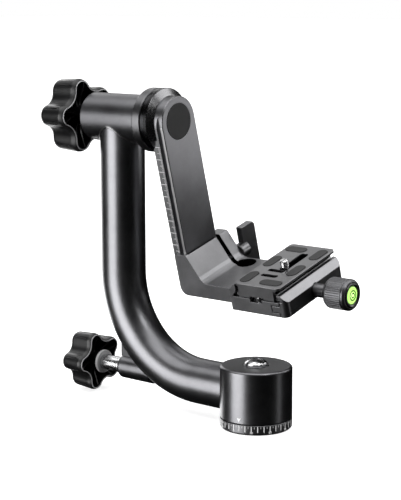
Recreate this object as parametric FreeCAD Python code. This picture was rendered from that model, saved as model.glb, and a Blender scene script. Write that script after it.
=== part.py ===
import FreeCAD, Part
import os
import math

os.makedirs("parts", exist_ok=True)
V = FreeCAD.Vector
X = V(1, 0, 0)
Y = V(0, 1, 0)
Z = V(0, 0, 1)

# ---------------------------------------------------------------- dimensions (mm)
# rotating base and pan housing, axis Z through the origin
R_BASE = 27.0          # base and housing radius
Z_BASE = 7.4           # top of the base plate
Z_HOUS0 = 8.0          # underside of the housing
Z_HOUS1 = 46.8         # top of the housing
R_HOUS_FILLET = 2.2
R_THREAD = 4.7625      # 3/8 inch thread in the insert
L_THREAD = 7.8
R_SPINDLE = 8.5
R_BRG = 15.0           # ball bearing outer radius (17 x 30 x 7)
W_BRG = 7.0
R_BALL = 1.9
N_BALL = 11
GAP = 0.05             # running clearance

# J shaped arm
R_TUBE = 17.4
R_TUBE_IN = 14.2
X_ARM = -132.0         # axis of the vertical leg
Z_ARM = 25.4           # axis of the horizontal leg
Z_LOCK = 24.9          # axis of the pan lock
R_BEND = 78.0          # centre line radius of the bend

# tilt axis along X at height H_TILT
H_TILT = 223.2
R_SLEEVE = 18.45
X_SLEEVE0 = -160.5
X_SLEEVE1 = -101.0
X_COLLAR1 = -93.2
R_COLLAR = 24.4
X_DRAG1 = -89.1
R_DRAG = 24.1
X_FLANGE1 = -82.6
R_FLANGE = 24.7
X_SHAFT0 = -152.0

# swing rail; the swing frame is turned PHI about the tilt axis
PHI = 15.4
X_RF = -74.5           # front face
X_RB = -87.5           # back face
W_RAIL = 38.0
Z_RAIL0 = -126.0
Z_SHOULDER = -9.6
X_GR0 = -80.7          # V groove
X_GR1 = -77.0
D_GROOVE = 2.3
R_CAP = 13.8

# platform bracket
Z_PB = -135.3
Z_PT = -123.3
Z_BT = -101.3
X_BB = -84.2
Y_B0 = -22.3
Y_B1 = 31.0
Y_SLIT0 = 16.6
Y_SLIT1 = 20.7
X_HOLE, Y_HOLE, R_HOLE = -51.1, 21.8, 7.7
X_WING, Z_WING = -66.0, -120.4

# quick release clamp
X_C0 = -26.6
X_C1 = 18.7
X_JAW = 25.6
Y_C0 = -32.2
Y_C1 = 42.2
H_FLOOR = 11.5
X_PL = -1.2            # centre line of the plate
Y_KNOB = 5.0
H_KNOB = 6.6

# ---------------------------------------------------------------- helpers
def box(x0, x1, y0, y1, z0, z1):
    return Part.makeBox(x1 - x0, y1 - y0, z1 - z0, V(x0, y0, z0))

def cyl(r, p0, d, h):
    return Part.makeCylinder(r, h, p0, d)

def cylx(r, x0, x1, y=0.0, z=0.0):
    return Part.makeCylinder(r, x1 - x0, V(x0, y, z), X)

def cyly(r, y0, y1, x=0.0, z=0.0):
    return Part.makeCylinder(r, y1 - y0, V(x, y0, z), Y)

def cylz(r, z0, z1, x=0.0, y=0.0):
    return Part.makeCylinder(r, z1 - z0, V(x, y, z0), Z)

def tube_x(ro, ri, x0, x1, y=0.0, z=0.0):
    return cylx(ro, x0, x1, y, z).cut(cylx(ri, x0 - 1, x1 + 1, y, z))

def tube_z(ro, ri, z0, z1):
    return cylz(ro, z0, z1).cut(cylz(ri, z0 - 1, z1 + 1))

def revolve_x(pts, y=0.0, z=0.0):
    """Closed (x, r) outline turned about the X axis through (y, z)."""
    w = Part.makePolygon([V(a, b, 0) for a, b in pts] + [V(pts[0][0], pts[0][1], 0)])
    s = Part.Face(w).revolve(V(0, 0, 0), X, 360)
    s.translate(V(0, y, z))
    return s

def revolve_z(pts):
    w = Part.makePolygon([V(b, 0, a) for a, b in pts] + [V(pts[0][1], 0, pts[0][0])])
    return Part.Face(w).revolve(V(0, 0, 0), Z, 360)

def prism_y(pts, y0, y1):
    """Closed (x, z) outline extruded along Y."""
    w = Part.makePolygon([V(a, y0, b) for a, b in pts] + [V(pts[0][0], y0, pts[0][1])])
    return Part.Face(w).extrude(V(0, y1 - y0, 0))

def prism_z(pts, z0, z1):
    w = Part.makePolygon([V(a, b, z0) for a, b in pts] + [V(pts[0][0], pts[0][1], z0)])
    return Part.Face(w).extrude(V(0, 0, z1 - z0))

def hexagon(af, n=6, ph=0.0):
    r = af / 2.0 / math.cos(math.pi / n)
    return [(r * math.cos(ph + 2 * math.pi * i / n), r * math.sin(ph + 2 * math.pi * i / n)) for i in range(n)]

def stadium_x(cx, cy, half, r, z0, z1):
    """Upright slot shape, long along X; half = half of the full length."""
    a = half - r
    s = box(cx - a, cx + a, cy - r, cy + r, z0, z1)
    return s.fuse([cylz(r, z0, z1, cx - a, cy), cylz(r, z0, z1, cx + a, cy)]).removeSplitter()

def stadium_y(cx, cy, half, r, z0, z1):
    a = half - r
    s = box(cx - r, cx + r, cy - a, cy + a, z0, z1)
    return s.fuse([cylz(r, z0, z1, cx, cy - a), cylz(r, z0, z1, cx, cy + a)]).removeSplitter()

def edges_where(s, f):
    return [e for e in s.Edges if f(e)]

def try_fillet(s, r, f, chamfer=False):
    es = edges_where(s, f)
    if not es:
        return s
    try:
        t = s.makeChamfer(r, es) if chamfer else s.makeFillet(r, es)
        if t.isValid() and t.Volume > 0:
            return t
    except Exception:
        pass
    return s

def is_circle(e, axis, pos, r=None, tol=0.02):
    c = e.Curve
    if not isinstance(c, Part.Circle):
        return False
    if abs(abs(c.Axis.dot(axis)) - 1) > 1e-6:
        return False
    if abs(c.Center.dot(axis) - pos) > tol:
        return False
    return r is None or abs(c.Radius - r) < tol

def one(s):
    s = s.removeSplitter()
    if len(s.Solids) == 1:
        return s.Solids[0]
    return s

def tilted(s):
    """From the swing frame (origin on the tilt axis) to the part frame."""
    s = s.copy()
    s.rotate(V(0, 0, 0), X, PHI)
    s.translate(V(0, 0, H_TILT))
    return s

def up(s):
    """From the tilt axis height to the part frame, not turned."""
    s = s.copy()
    s.translate(V(0, 0, H_TILT))
    return s

def save(name, s):
    s = one(s)
    s.exportStep("parts/%s.step" % name)

# ---------------------------------------------------------------- ball bearing (axis Z at z0)
def bearing(z0, w=W_BRG, ri=R_SPINDLE, ro=R_BRG, rb=R_BALL, n=N_BALL):
    rp = (ri + ro) / 2.0
    zc = z0 + w / 2.0
    groove = Part.makeTorus(rp, rb + GAP, V(0, 0, zc), Z)
    inner = tube_z(rp - 0.75, ri, z0, z0 + w).cut(groove)
    outer = tube_z(ro, rp + 0.75, z0, z0 + w).cut(groove)
    inner = try_fillet(inner, 0.4, lambda e: is_circle(e, Z, z0 + w, ri) or is_circle(e, Z, z0, ri), True)
    outer = try_fillet(outer, 0.4, lambda e: is_circle(e, Z, z0 + w, ro) or is_circle(e, Z, z0, ro), True)
    balls = [Part.makeSphere(rb, V(rp * math.cos(2 * math.pi * i / n), rp * math.sin(2 * math.pi * i / n), zc)) for i in range(n)]
    return inner, outer, Part.makeCompound(balls)

def along_x(s, x0):
    """Bearing built on Z with its lower face at 0, laid along X from x0."""
    s = s.copy()
    s.rotate(V(0, 0, 0), Y, 90)
    s.translate(V(x0, 0, 0))
    return s

# ================================================================= BASE
base = cylz(R_BASE, 0, Z_BASE)
base = try_fillet(base, 1.3, lambda e: is_circle(e, Z, 0, R_BASE), True)
base = try_fillet(base, 0.3, lambda e: is_circle(e, Z, Z_BASE, R_BASE), True)
# seat of the thread insert, stepped
base = base.cut(cylz(7.5, -1, Z_BASE + 1))
base = base.cut(cylz(9.6, -1, 1.6))
# fine grip grooves on the underside
for rg in (14.0, 16.5, 19.0, 21.5):
    base = base.cut(tube_z(rg + 0.4, rg - 0.4, -1, 0.5))
# graduations engraved around the side, every 10 degrees, longer every 30
marks = []
for k in range(36):
    long_ = (k % 3 == 0)
    z_lo = 3.3 if long_ else 2.2
    z_hi = 6.6
    b = box(R_BASE - 0.3, R_BASE + 1, -0.3, 0.3, z_lo, z_hi)
    b.rotate(V(0, 0, 0), Z, 10 * k - 90)
    marks.append(b)
base = base.cut(Part.makeCompound(marks))
save("base_plate", base)

# thread insert
insert = cylz(7.5, 1.6, 11.4).fuse(cylz(9.6, 0.0, 1.6))
insert = insert.cut(cylz(R_THREAD, -1, L_THREAD))
# two spanner holes in the flange
for sx in (-7.2, 7.2):
    insert = insert.cut(cylz(0.9, -1, 1.0, sx, 0))
save("thread_insert", insert)

# spindle on the base plate
Z_SP0 = Z_BASE
spindle = cylz(15.6, Z_SP0, Z_SP0 + 1.6).fuse(cylz(R_SPINDLE + 1.6, Z_SP0, 10.6)).fuse(cylz(R_SPINDLE, Z_SP0, 42.2))
spindle = spindle.cut(cylz(7.5, Z_SP0 - 1, 11.4))
spindle = spindle.cut(cylz(5.0, 24.4, 43))
# brake groove between the bearings
spindle = spindle.cut(tube_z(12, 7.9, Z_LOCK - 5.2, Z_LOCK + 5.2))
spindle = try_fillet(spindle, 0.4, lambda e: is_circle(e, Z, 42.2, R_SPINDLE), True)
save("pan_spindle", spindle)

# lower and upper pan bushes with grease grooves
blo = tube_z(R_BRG, R_SPINDLE + GAP, 10.7, 17.6)
bup = tube_z(12.6, R_SPINDLE + GAP, 34.0, 41.0)
for zz in (12.4, 14.1, 15.8):
    blo = blo.cut(tube_z(R_SPINDLE + 0.5, R_SPINDLE - 1, zz, zz + 0.6))
for zz in (35.6, 37.4, 39.2):
    bup = bup.cut(tube_z(R_SPINDLE + 0.5, R_SPINDLE - 1, zz, zz + 0.6))
save("pan_bush_lower", blo)
save("pan_bush_upper", bup)

# glide ring in the seam
save("pan_glide_ring", tube_z(25.6, 19.0, Z_BASE, Z_HOUS0 - 0.05))

# centre bolt and stepped washer
ZW = Z_HOUS1 - 0.9
washer = cylz(9.4, ZW, ZW + 1.3).fuse(cylz(R_SPINDLE, 42.2, ZW)).cut(cylz(5.1, 42, 50))
washer = try_fillet(washer, 0.35, lambda e: is_circle(e, Z, ZW + 1.3, 9.4), True)
save("bolt_washer", washer)
ZB = ZW + 1.3
head = revolve_z([(ZB, 0), (ZB, 8.2), (ZB + 0.5, 8.5), (ZB + 1.2, 8.35), (ZB + 2.2, 7.6), (ZB + 3.1, 6.3), (ZB + 3.7, 4.9), (ZB + 3.95, 4.2), (ZB + 3.95, 0)])
bolt = head.fuse(cylz(4.95, 26.0, ZB))
bolt = bolt.cut(prism_z(hexagon(6.0, ph=math.radians(14)), ZB + 0.8, ZB + 6))
bolt = bolt.cut(cylz(3.3, ZB + 3.6, ZB + 6))
save("centre_bolt", bolt)

# ================================================================= PAN ARM
hous = cylz(R_BASE, Z_HOUS0, Z_HOUS1)
hous = try_fillet(hous, R_HOUS_FILLET, lambda e: is_circle(e, Z, Z_HOUS1, R_BASE))
hous = try_fillet(hous, 0.3, lambda e: is_circle(e, Z, Z_HOUS0, R_BASE), True)
hous = hous.cut(cylz(16.4, Z_HOUS0 - 1, 10.6))
hous = hous.cut(cylz(R_BRG, Z_HOUS0 - 1, 17.6))
hous = hous.cut(cylz(12.6, Z_HOUS0, 43.0))
hous = hous.cut(cylz(9.0, 40, Z_HOUS1 + 1))
hous = hous.cut(cylz(10.0, Z_HOUS1 - 1.0, Z_HOUS1 + 1))
# passage of the brake rod
hous = hous.cut(cylx(5.0, -30, -10, 0, Z_LOCK))
# index notch above the seam
tri = prism_y([(-1.55, 12.2), (1.55, 12.2), (0.0, 9.2)], -30, -R_BASE + 0.3)
tri.rotate(V(0, 0, 0), Z, 9.3)
hous = hous.cut(tri)
save("pan_housing", hous)

# J tube: line, quarter arc, line
cz = Z_ARM + R_BEND
cx = X_ARM + R_BEND
p0 = V(-15, 0, Z_ARM)
p1 = V(cx, 0, Z_ARM)
pm = V(cx - R_BEND * math.sin(math.pi / 4), 0, cz - R_BEND * math.cos(math.pi / 4))
p2 = V(X_ARM, 0, cz)
p3 = V(X_ARM, 0, H_TILT)
spine = Part.Wire([Part.makeLine(p0, p1), Part.Arc(p1, pm, p2).toShape(), Part.makeLine(p2, p3)])
def pipe(r):
    w = Part.Wire([Part.makeCircle(r, p0, X)])
    return spine.makePipeShell([w], True, True)
jtube = pipe(R_TUBE)
jin = pipe(R_TUBE_IN)
jtube = jtube.cut(jin)
jtube = jtube.cut(cylz(R_BASE, -5, 60))
jtube = jtube.cut(up(cylx(R_SLEEVE, -170, -90)))
jtube = jtube.cut(cylx(6.4, -160, cx, 0, Z_LOCK))
save("j_tube", jtube)

# tilt sleeve on top
slv = cylx(R_SLEEVE, X_SLEEVE0, X_SLEEVE1)
slv = try_fillet(slv, 0.9, lambda e: is_circle(e, X, X_SLEEVE0, R_SLEEVE))
slv = slv.cut(cylx(R_BRG, -157.0, X_SLEEVE1 + 1))
slv = slv.cut(cylx(4.0, -162, -150))
slv = slv.cut(revolve_x([(X_SLEEVE0 - 0.1, 0), (X_SLEEVE0 - 0.1, 5.2), (X_SLEEVE0 + 0.9, 4.0), (X_SLEEVE0 + 0.9, 0)]))
# turned line near the collar
slv = slv.cut(tube_x(R_SLEEVE + 1, R_SLEEVE - 0.45, X_SLEEVE1 - 1.0, X_SLEEVE1 - 0.3))
save("tilt_sleeve", up(slv))

# collar with its spigot, holds the front bearing
col = cylx(R_COLLAR, X_SLEEVE1, X_COLLAR1)
col = try_fillet(col, 0.8, lambda e: is_circle(e, X, X_SLEEVE1, R_COLLAR))
col = try_fillet(col, 0.5, lambda e: is_circle(e, X, X_COLLAR1, R_COLLAR), True)
col = col.fuse(cylx(R_BRG, -108.6, X_SLEEVE1))
col = col.cut(cylx(12.6, -110, -90)).cut(cylx(R_BRG, -100.4, -90))
save("sleeve_collar", up(col))

# drag ring (spacer with an undercut next to the collar)
rd = R_SPINDLE + 0.6
drag = revolve_x([(X_COLLAR1, rd), (X_COLLAR1, 22.6), (-92.5, 22.6), (-92.5, R_DRAG - 0.2), (-92.3, R_DRAG), (X_DRAG1 - 0.2, R_DRAG), (X_DRAG1, R_DRAG - 0.2), (X_DRAG1, rd)])
save("drag_ring", up(drag))

# tilt bearings
bi, bo, bc = bearing(0)
for nm, x0 in (("rear", -148.0), ("front", -100.4)):
    save("tilt_bearing_inner_" + nm, up(along_x(bi, x0)))
    save("tilt_bearing_outer_" + nm, up(along_x(bo, x0)))
    save("tilt_bearing_balls_" + nm, up(along_x(bc, x0)))

# lock stub at the lower bend, with its rounded end
R_STUB = 9.4
X_ST0 = -133.6
stub = cylx(R_STUB, X_ST0, -100, 0, Z_LOCK)
stub = try_fillet(stub, 3.2, lambda e: is_circle(e, X, X_ST0, R_STUB))
# bend surface cut away
stub = stub.cut(pipe(R_TUBE))
stub = [s for s in stub.Solids if s.CenterOfMass.x < -100][0] if len(stub.Solids) > 1 else stub
stub = stub.cut(cylx(5.0, -150, -90, 0, Z_LOCK))
gus = prism_y([(-132.4, Z_ARM + 5), (-132.4, Z_ARM + 28), (-118, Z_ARM + 28), (-118, Z_ARM + 5)], -3.6, 3.6)
gus = gus.cut(pipe(R_TUBE)).cut(cylx(R_STUB, -150, -90, 0, Z_LOCK))
gl = [s for s in gus.Solids if s.CenterOfMass.x < -120 and s.CenterOfMass.z < Z_ARM + 24]
gl.sort(key=lambda s: s.CenterOfMass.x)
gusset = gl[0]
save("lock_stub", stub)
save("stub_gusset", gusset)
# polished ring at the mouth of the stub
ring = tube_x(6.9, 5.0, X_ST0 - 2.6, X_ST0, 0, Z_LOCK)
ring = try_fillet(ring, 0.5, lambda e: is_circle(e, X, X_ST0 - 2.6, 6.9), True)
save("stub_ring", ring)

# ================================================================= SWING
shaft = cylx(R_SPINDLE, X_SHAFT0, X_FLANGE1 - 0.4)
shaft = try_fillet(shaft, 0.5, lambda e: is_circle(e, X, X_SHAFT0, R_SPINDLE), True)
save("tilt_shaft", tilted(shaft))
nut = tube_x(11.2, R_SPINDLE, -151.6, -148.0)
for k in range(4):
    b = box(-153, -147, -1.5, 1.5, 9.9, 13)
    b.rotate(V(0, 0, 0), X, 90 * k + 20)
    nut = nut.cut(b)
save("shaft_nut", tilted(nut))

# flange with its cone, slotted where the thick part of the rail starts
fl = revolve_x([(-89.0, 0), (-89.0, R_FLANGE - 0.3), (-88.7, R_FLANGE), (-86.2, R_FLANGE), (-85.9, R_FLANGE - 0.2), (-82.9, 19.7), (X_FLANGE1, 19.1), (X_FLANGE1, 0)])
fl = fl.cut(cylx(R_SPINDLE, -95, X_FLANGE1 - 0.4))
fl = fl.cut(box(X_RB, -70, -W_RAIL / 2.0, W_RAIL / 2.0, -30, Z_SHOULDER))
SCREWS = [(9.66, 4.1), (-9.66, 4.1)]
for sy, sz in SCREWS:
    fl = fl.cut(cylx(1.5, -87.0, -70, sy, sz))
save("tilt_flange", tilted(fl))

# swing rail
hw = W_RAIL / 2.0
ch = 0.5
sec = [(X_RB, -hw + ch), (X_RB + ch, -hw), (X_GR0, -hw), (X_GR0 + 1.5, -hw + D_GROOVE), (X_GR1 - 1.5, -hw + D_GROOVE),
       (X_GR1, -hw), (X_RF - ch, -hw), (X_RF, -hw + ch), (X_RF, hw - ch), (X_RF - ch, hw), (X_GR1, hw),
       (X_GR1 - 1.5, hw - D_GROOVE), (X_GR0 + 1.5, hw - D_GROOVE), (X_GR0, hw), (X_RB + ch, hw), (X_RB, hw - ch)]
rail = prism_z(sec, Z_RAIL0, 20.0)
# rounded top
dome = revolve_x([(X_RB - 1, 0), (X_RB - 1, hw), (X_RF - ch, hw), (X_RF, hw - ch), (X_RF, 0)])
keep = dome.fuse(box(X_RB - 1, X_RF + 1, -hw - 1, hw + 1, Z_RAIL0 - 1, 0))
rail = rail.common(keep)
# thin tongue above the shoulder
rail = rail.cut(box(X_RB - 1, X_FLANGE1, -30, 30, Z_SHOULDER, 30))
# seat of the cap, screw holes
rail = rail.cut(cylx(R_CAP + 0.05, X_RF - 1.3, X_RF + 1))
for sy, sz in SCREWS:
    rail = rail.cut(cylx(1.6, -90, -70, sy, sz)).cut(cylx(2.85, X_RF - 4.3, -70, sy, sz))
# channel along the back face
rail = rail.cut(box(X_RB - 1, X_RB + 2.2, -8.0, 8.0, Z_RAIL0 + 8, Z_SHOULDER - 8))
# graduations on the near side of the back slab, every 10 mm, shorter every 5
marks = []
for k in range(0, 24):
    zz = Z_SHOULDER - 5.0 - 5.0 * k
    if zz < Z_RAIL0 + 3:
        break
    l = 6.0 if k % 2 == 0 else 3.6
    marks.append(box(X_GR0 - 0.3 - l, X_GR0 - 0.3, -hw - 1, -hw + 0.25, zz - 0.15, zz + 0.15))
rail = rail.cut(Part.makeCompound(marks))
save("swing_rail", tilted(rail))
for i, (sy, sz) in enumerate(SCREWS):
    s = cylx(1.48, -86.6, X_RF - 4.3, sy, sz).fuse(cylx(2.75, X_RF - 4.3, X_RF - 1.5, sy, sz))
    hh = hexagon(2.5)
    h = Part.Face(Part.makePolygon([V(X_RF - 2.9, sy + a, sz + b) for a, b in hh] + [V(X_RF - 2.9, sy + hh[0][0], sz + hh[0][1])])).extrude(V(3, 0, 0))
    save("rail_screw_%d" % (i + 1), tilted(s.cut(h)))
cap = cylx(R_CAP, X_RF - 1.3, X_RF + 0.25)
cap = try_fillet(cap, 0.2, lambda e: is_circle(e, X, X_RF + 0.25, R_CAP), True)
save("rail_cap", tilted(cap))

# ================================================================= PLATFORM BRACKET
prof = [(X_BB, Z_BT - 1.6), (X_BB + 1.4, Z_BT), (-73.3, Z_BT), (-72.7, Z_BT - 0.6),
        (-63.2, -118.3), (-61.4, -120.8), (-59.6, -122.3), (-57.2, -123.1), (-54.5, Z_PT),
        (X_C0, Z_PT), (X_C0, Z_PB + 5.4), (X_C0 + 22.4, Z_PB + 5.4), (X_C0 + 22.4, Z_PB), (-77.6, Z_PB),
        (-80.0, Z_PB + 0.45), (-82.1, Z_PB + 1.8), (-83.6, Z_PB + 3.9), (X_BB, Z_PB + 6.4)]
br = prism_y(prof, Y_B0, Y_B1)
# channel of the rail with V ribs left standing
gx = X_RF + 0.12
chan = box(X_BB - 1, gx, -hw - 0.12, hw + 0.12, Z_PB - 1, Z_BT + 1)
def rib(sgn):
    y0 = sgn * (hw + 0.12)
    yi = sgn * (hw - D_GROOVE + 0.15)
    pts = [(X_GR0 + 0.22, y0 + sgn * 0.5), (X_GR0 + 0.22, y0), (X_GR0 + 1.6, yi), (X_GR1 - 1.6, yi), (X_GR1 - 0.22, y0), (X_GR1 - 0.22, y0 + sgn * 0.5)]
    return prism_z(pts, Z_PB, Z_BT)
br = br.cut(chan)
# relief along the upper edge of the channel
br = br.cut(box(gx - 1, -73.1, -hw - 0.12, hw + 0.12, Z_BT - 2.2, Z_BT + 1))
ribs = rib(-1).fuse(rib(1))
env = prism_y(prof, Y_B0, Y_B1)
br = br.fuse(ribs.common(env))
# slit and the round hole at its end
br = br.cut(box(gx - 2, X_HOLE, Y_SLIT0, Y_SLIT1, Z_PB - 1, Z_BT + 1))
br = br.cut(cylz(R_HOLE, Z_PB - 1, Z_PT + 1, X_HOLE, Y_HOLE))
# hole of the lock screw: clearance in the far jaw, thread in the near part
br = br.cut(cyly(3.2, Y_SLIT0, Y_B1 + 1, X_WING, Z_WING))
br = br.cut(cyly(3.05, -6.0, Y_SLIT0 + 1, X_WING, Z_WING))
# countersunk seats of the two clamp screws, from below
CS = [(-15.4, -9.0), (-15.4, 18.0)]
for sx, sy in CS:
    br = br.cut(cylz(2.6, Z_PB - 1, Z_PB + 7, sx, sy)).cut(cylz(4.6, Z_PB - 1, Z_PB + 3.0, sx, sy))
save("platform_bracket", tilted(br))

# lock screw of the rail: stud with hub, and the flat wing
stud = cyly(2.98, -4.0, Y_B1 + 8, X_WING, Z_WING)
save("wing_stud", tilted(stud))
wy0, wy1 = 36.6, 54.0
wl = 19.4
R_HUB = 6.3
hub = cyly(R_HUB, Y_B1 + 0.15, 41.4, X_WING, Z_WING)
hub = try_fillet(hub, 1.4, lambda e: is_circle(e, Y, 41.4, R_HUB))
hub = try_fillet(hub, 0.4, lambda e: is_circle(e, Y, Y_B1 + 0.15, R_HUB), True)
pad = box(X_WING - 2.8, X_WING + 2.8, wy0, wy1, Z_WING - wl, Z_WING + wl)
def paddle_edge(e, y):
    b = e.BoundBox
    return b.XLength > 4.9 and b.YLength < 0.01 and b.ZLength < 0.01 and abs(b.YMin - y) < 0.01
pad = try_fillet(pad, 4.6, lambda e: paddle_edge(e, wy1))
pad = try_fillet(pad, 1.0, lambda e: paddle_edge(e, wy0))
pad = try_fillet(pad, 0.8, lambda e: e.BoundBox.XLength < 0.01 or e.BoundBox.ZLength > 5)
wing = hub.fuse(pad).cut(cyly(2.98, 20, Y_B1 + 8, X_WING, Z_WING))
save("rail_wing", tilted(wing))

# ================================================================= QUICK RELEASE CLAMP
def zc(h):
    return Z_PB + h
body = [(X_C0, zc(0)), (X_C1, zc(0)), (X_C1, zc(3.0)), (11.5, zc(3.0)), (11.5, zc(8.7)), (X_C1, zc(8.7)),
        (X_C1, zc(H_FLOOR)), (-23.6, zc(H_FLOOR)), (-23.6, zc(12.2)), (-20.2, zc(15.6)), (-20.2, zc(19.4)),
        (-21.2, zc(20.4)), (-21.2, zc(20.9)), (-21.9, zc(20.9)), (X_C0, zc(16.0))]
cb = prism_y(body, Y_C0, Y_C1)
cb = cb.cut(box(X_C0 - 1, X_C0 + 22.4, Y_B0, Y_B1, Z_PB - 1, Z_PB + 5.4))
# notch and bore of the drop pin
cb = cb.cut(box(-7.6, 3.2, Y_C0 - 1, Y_C0 + 4.4, zc(8.9), zc(H_FLOOR) + 1))
X_PIN, Y_PIN = -0.6, Y_C0 + 2.4
cb = cb.cut(cylz(1.65, zc(1.2), zc(12), X_PIN, Y_PIN))
# thread of the clamp screw
cb = cb.cut(cylx(3.05, -4.0, X_C1 + 1, Y_KNOB, zc(H_KNOB)))
# threads of the two fixing screws
for sx, sy in CS:
    cb = cb.cut(cylz(2.1, Z_PB + 4, zc(10.4), sx, sy))
# relief groove along the floor
cb = cb.cut(box(-20.6, 15.8, Y_C0 + 9, Y_C1 - 6, zc(H_FLOOR) - 0.8, zc(H_FLOOR) + 0.01))
cb = try_fillet(cb, 0.6, lambda e: e.BoundBox.YLength < 0.01 and abs(e.BoundBox.XMin - X_C0) < 0.01 and e.BoundBox.XLength < 0.01 and e.BoundBox.ZLength > 8, True)
save("clamp_body", tilted(cb))
for i, (sx, sy) in enumerate(CS):
    s = cylz(2.05, Z_PB + 3.0, zc(10.0), sx, sy).fuse(cylz(4.4, Z_PB + 0.3, Z_PB + 3.0, sx, sy))
    s = s.cut(prism_z([(sx + a, sy + b) for a, b in hexagon(4.0)], Z_PB - 1, Z_PB + 2.0))
    save("clamp_screw_%d" % (i + 1), tilted(s))

# drop pin with its head inside the bore
dp = cylz(1.6, zc(6.0), zc(12.9), X_PIN, Y_PIN)
dp = try_fillet(dp, 0.6, lambda e: is_circle(e, Z, zc(12.9), 1.6))
save("drop_pin", tilted(dp))

# movable jaw
jb = [(X_C1 + 0.6, zc(0)), (X_JAW - 0.5, zc(0)), (X_JAW, zc(0.5)), (X_JAW, zc(11.7)), (20.8, zc(16.9)), (20.2, zc(17.1)), (17.9, zc(17.1)), (17.3, zc(16.5)), (17.3, zc(16.2)),
      (21.0, zc(12.5)), (21.0, zc(11.9)), (X_C1 + 0.6, zc(11.9)), (X_C1 + 0.6, zc(8.2)), (12.1, zc(8.2)), (12.1, zc(3.5)), (X_C1 + 0.6, zc(3.5))]
jaw = prism_y(jb, Y_C0, Y_C1)
# rounded outer corners in plan
mask = box(5, X_JAW, Y_C0, Y_C1, zc(-1), zc(20))
mask = try_fillet(mask, 5.0, lambda e: abs(e.BoundBox.XMin - X_JAW) < 0.01 and e.BoundBox.XLength < 0.01 and e.BoundBox.ZLength > 10)
jaw = jaw.common(mask)
jaw = jaw.cut(cylx(3.05, 5, X_JAW + 1, Y_KNOB, zc(H_KNOB)))
jaw = jaw.cut(cylx(5.5, X_JAW - 1.4, X_JAW + 1, Y_KNOB, zc(H_KNOB)))
save("clamp_jaw", tilted(jaw))

# clamp knob: screw with neck, knurled grip, level in the end
yk, zk = Y_KNOB, zc(H_KNOB)
scr = revolve_x([(-0.5, 0), (-0.5, 2.4), (0.1, 2.98), (X_JAW - 1.3, 2.98), (X_JAW - 1.3, 5.2), (36.0, 5.2), (36.0, 4.0), (50.0, 4.0), (50.0, 0)], yk, zk)
save("clamp_screw_shaft", tilted(scr))
RG = 11.8
grip = revolve_x([(36.0, 4.0), (36.0, 6.2), (37.2, 8.4), (38.8, 10.4), (40.6, 11.6), (41.4, RG), (54.6, RG), (54.9, RG - 0.5), (55.3, RG - 0.5),
                  (55.6, RG), (56.5, RG), (57.3, RG - 0.5), (58.0, 10.7), (58.3, 9.8), (57.9, 9.4), (56.6, 9.4), (56.6, 6.35), (54.6, 6.35), (54.6, 3.0), (50.0, 3.0), (50.0, 4.0)], yk, zk)
kn = []
nk = 40
for i in range(nk):
    a = 2 * math.pi * i / nk
    b = Part.makeBox(12.2, 0.75, 0.75, V(41.8, -0.375, -0.375))
    b.rotate(V(0, 0, 0), X, 45)
    b.translate(V(0, (RG + 0.12) * math.cos(a), (RG + 0.12) * math.sin(a)))
    kn.append(b)
kc = Part.makeCompound(kn)
kc.translate(V(0, yk, zk))
grip = grip.cut(kc)
save("clamp_knob_grip", tilted(grip))
endring = revolve_x([(56.6, 6.35), (56.6, 9.35), (58.2, 9.35), (58.9, 8.9), (59.1, 8.2), (58.7, 7.3), (58.3, 6.75), (57.9, 6.75), (57.9, 6.35)], yk, zk)
save("level_ring", tilted(endring))
liq = revolve_x([(54.6, 0), (54.6, 6.3), (57.5, 6.3), (57.5, 0)], yk, zk)
bub = revolve_x([(56.7, 0), (56.8, 1.3), (57.1, 2.0), (57.5, 2.2), (57.5, 0)], yk, zk)
liq = liq.cut(bub)
save("level_liquid", tilted(liq))
save("level_bubble", tilted(bub))
lens = revolve_x([(57.5, 0), (57.5, 6.3), (57.9, 6.3), (57.9, 6.7), (58.25, 6.7), (58.45, 6.2), (58.6, 4.0), (58.65, 0)], yk, zk)
save("level_lens", tilted(lens))

# ================================================================= QUICK RELEASE PLATE
Y_P0 = Y_C0
Y_P1 = 43.2
H0 = 12.1
H1 = 22.8
def px(h):
    return X_PL + h
core = [(px(-20.3), zc(H0)), (px(20.3), zc(H0)), (px(20.3), zc(14.2)), (px(17.2), zc(17.3)), (px(16.2), zc(17.3)), (px(16.2), zc(20.6)),
        (px(21.5), zc(20.9)), (px(21.5), zc(22.5)), (px(21.2), zc(H1)), (px(-19.4), zc(H1)), (px(-19.7), zc(22.5)), (px(-19.7), zc(20.9)),
        (px(-16.2), zc(20.6)), (px(-16.2), zc(17.3)), (px(-17.2), zc(17.3)), (px(-20.3), zc(14.2))]
pl = prism_y(core, Y_P0, Y_P1)
# the dovetail starts behind the ends
for ya, yb in ((Y_P0 - 1, Y_P0 + 2.2), (Y_P1 - 2.2, Y_P1 + 1)):
    pl = pl.cut(box(px(-30), px(-16.2), ya, yb, zc(H0) - 1, zc(20.7)))
    pl = pl.cut(box(px(16.2), px(30), ya, yb, zc(H0) - 1, zc(20.7)))
# rounded corners of the top
mask = box(px(-19.7), px(21.5), Y_P0, Y_P1, zc(0), zc(30))
mask = try_fillet(mask, 3.4, lambda e: e.BoundBox.XLength < 0.01 and e.BoundBox.YLength < 0.01)
lower = box(px(-30), px(30), Y_P0 - 1, Y_P1 + 1, zc(0), zc(17.35))
pl = pl.common(mask.fuse(lower))
# groove under the plate for the drop pin
pl = pl.cut(box(-7.4, 5.4, Y_P0 - 1, Y_P1 - 9, zc(H0) - 1, zc(13.3)))
# slots
YC = (Y_P0 + Y_P1) / 2.0
for sy in (-13.0, -3.4 - 0.4):
    pl = pl.cut(stadium_x(px(-0.2), sy, 7.6, 2.4, zc(H1 - 0.9), zc(H1) + 1))
    pl = pl.cut(stadium_x(px(-0.2), sy, 6.9, 1.7, zc(13.0), zc(H1) + 1))
X_SL = 2.3
Y_SL0, Y_SL1 = -1.6, 29.4
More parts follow.
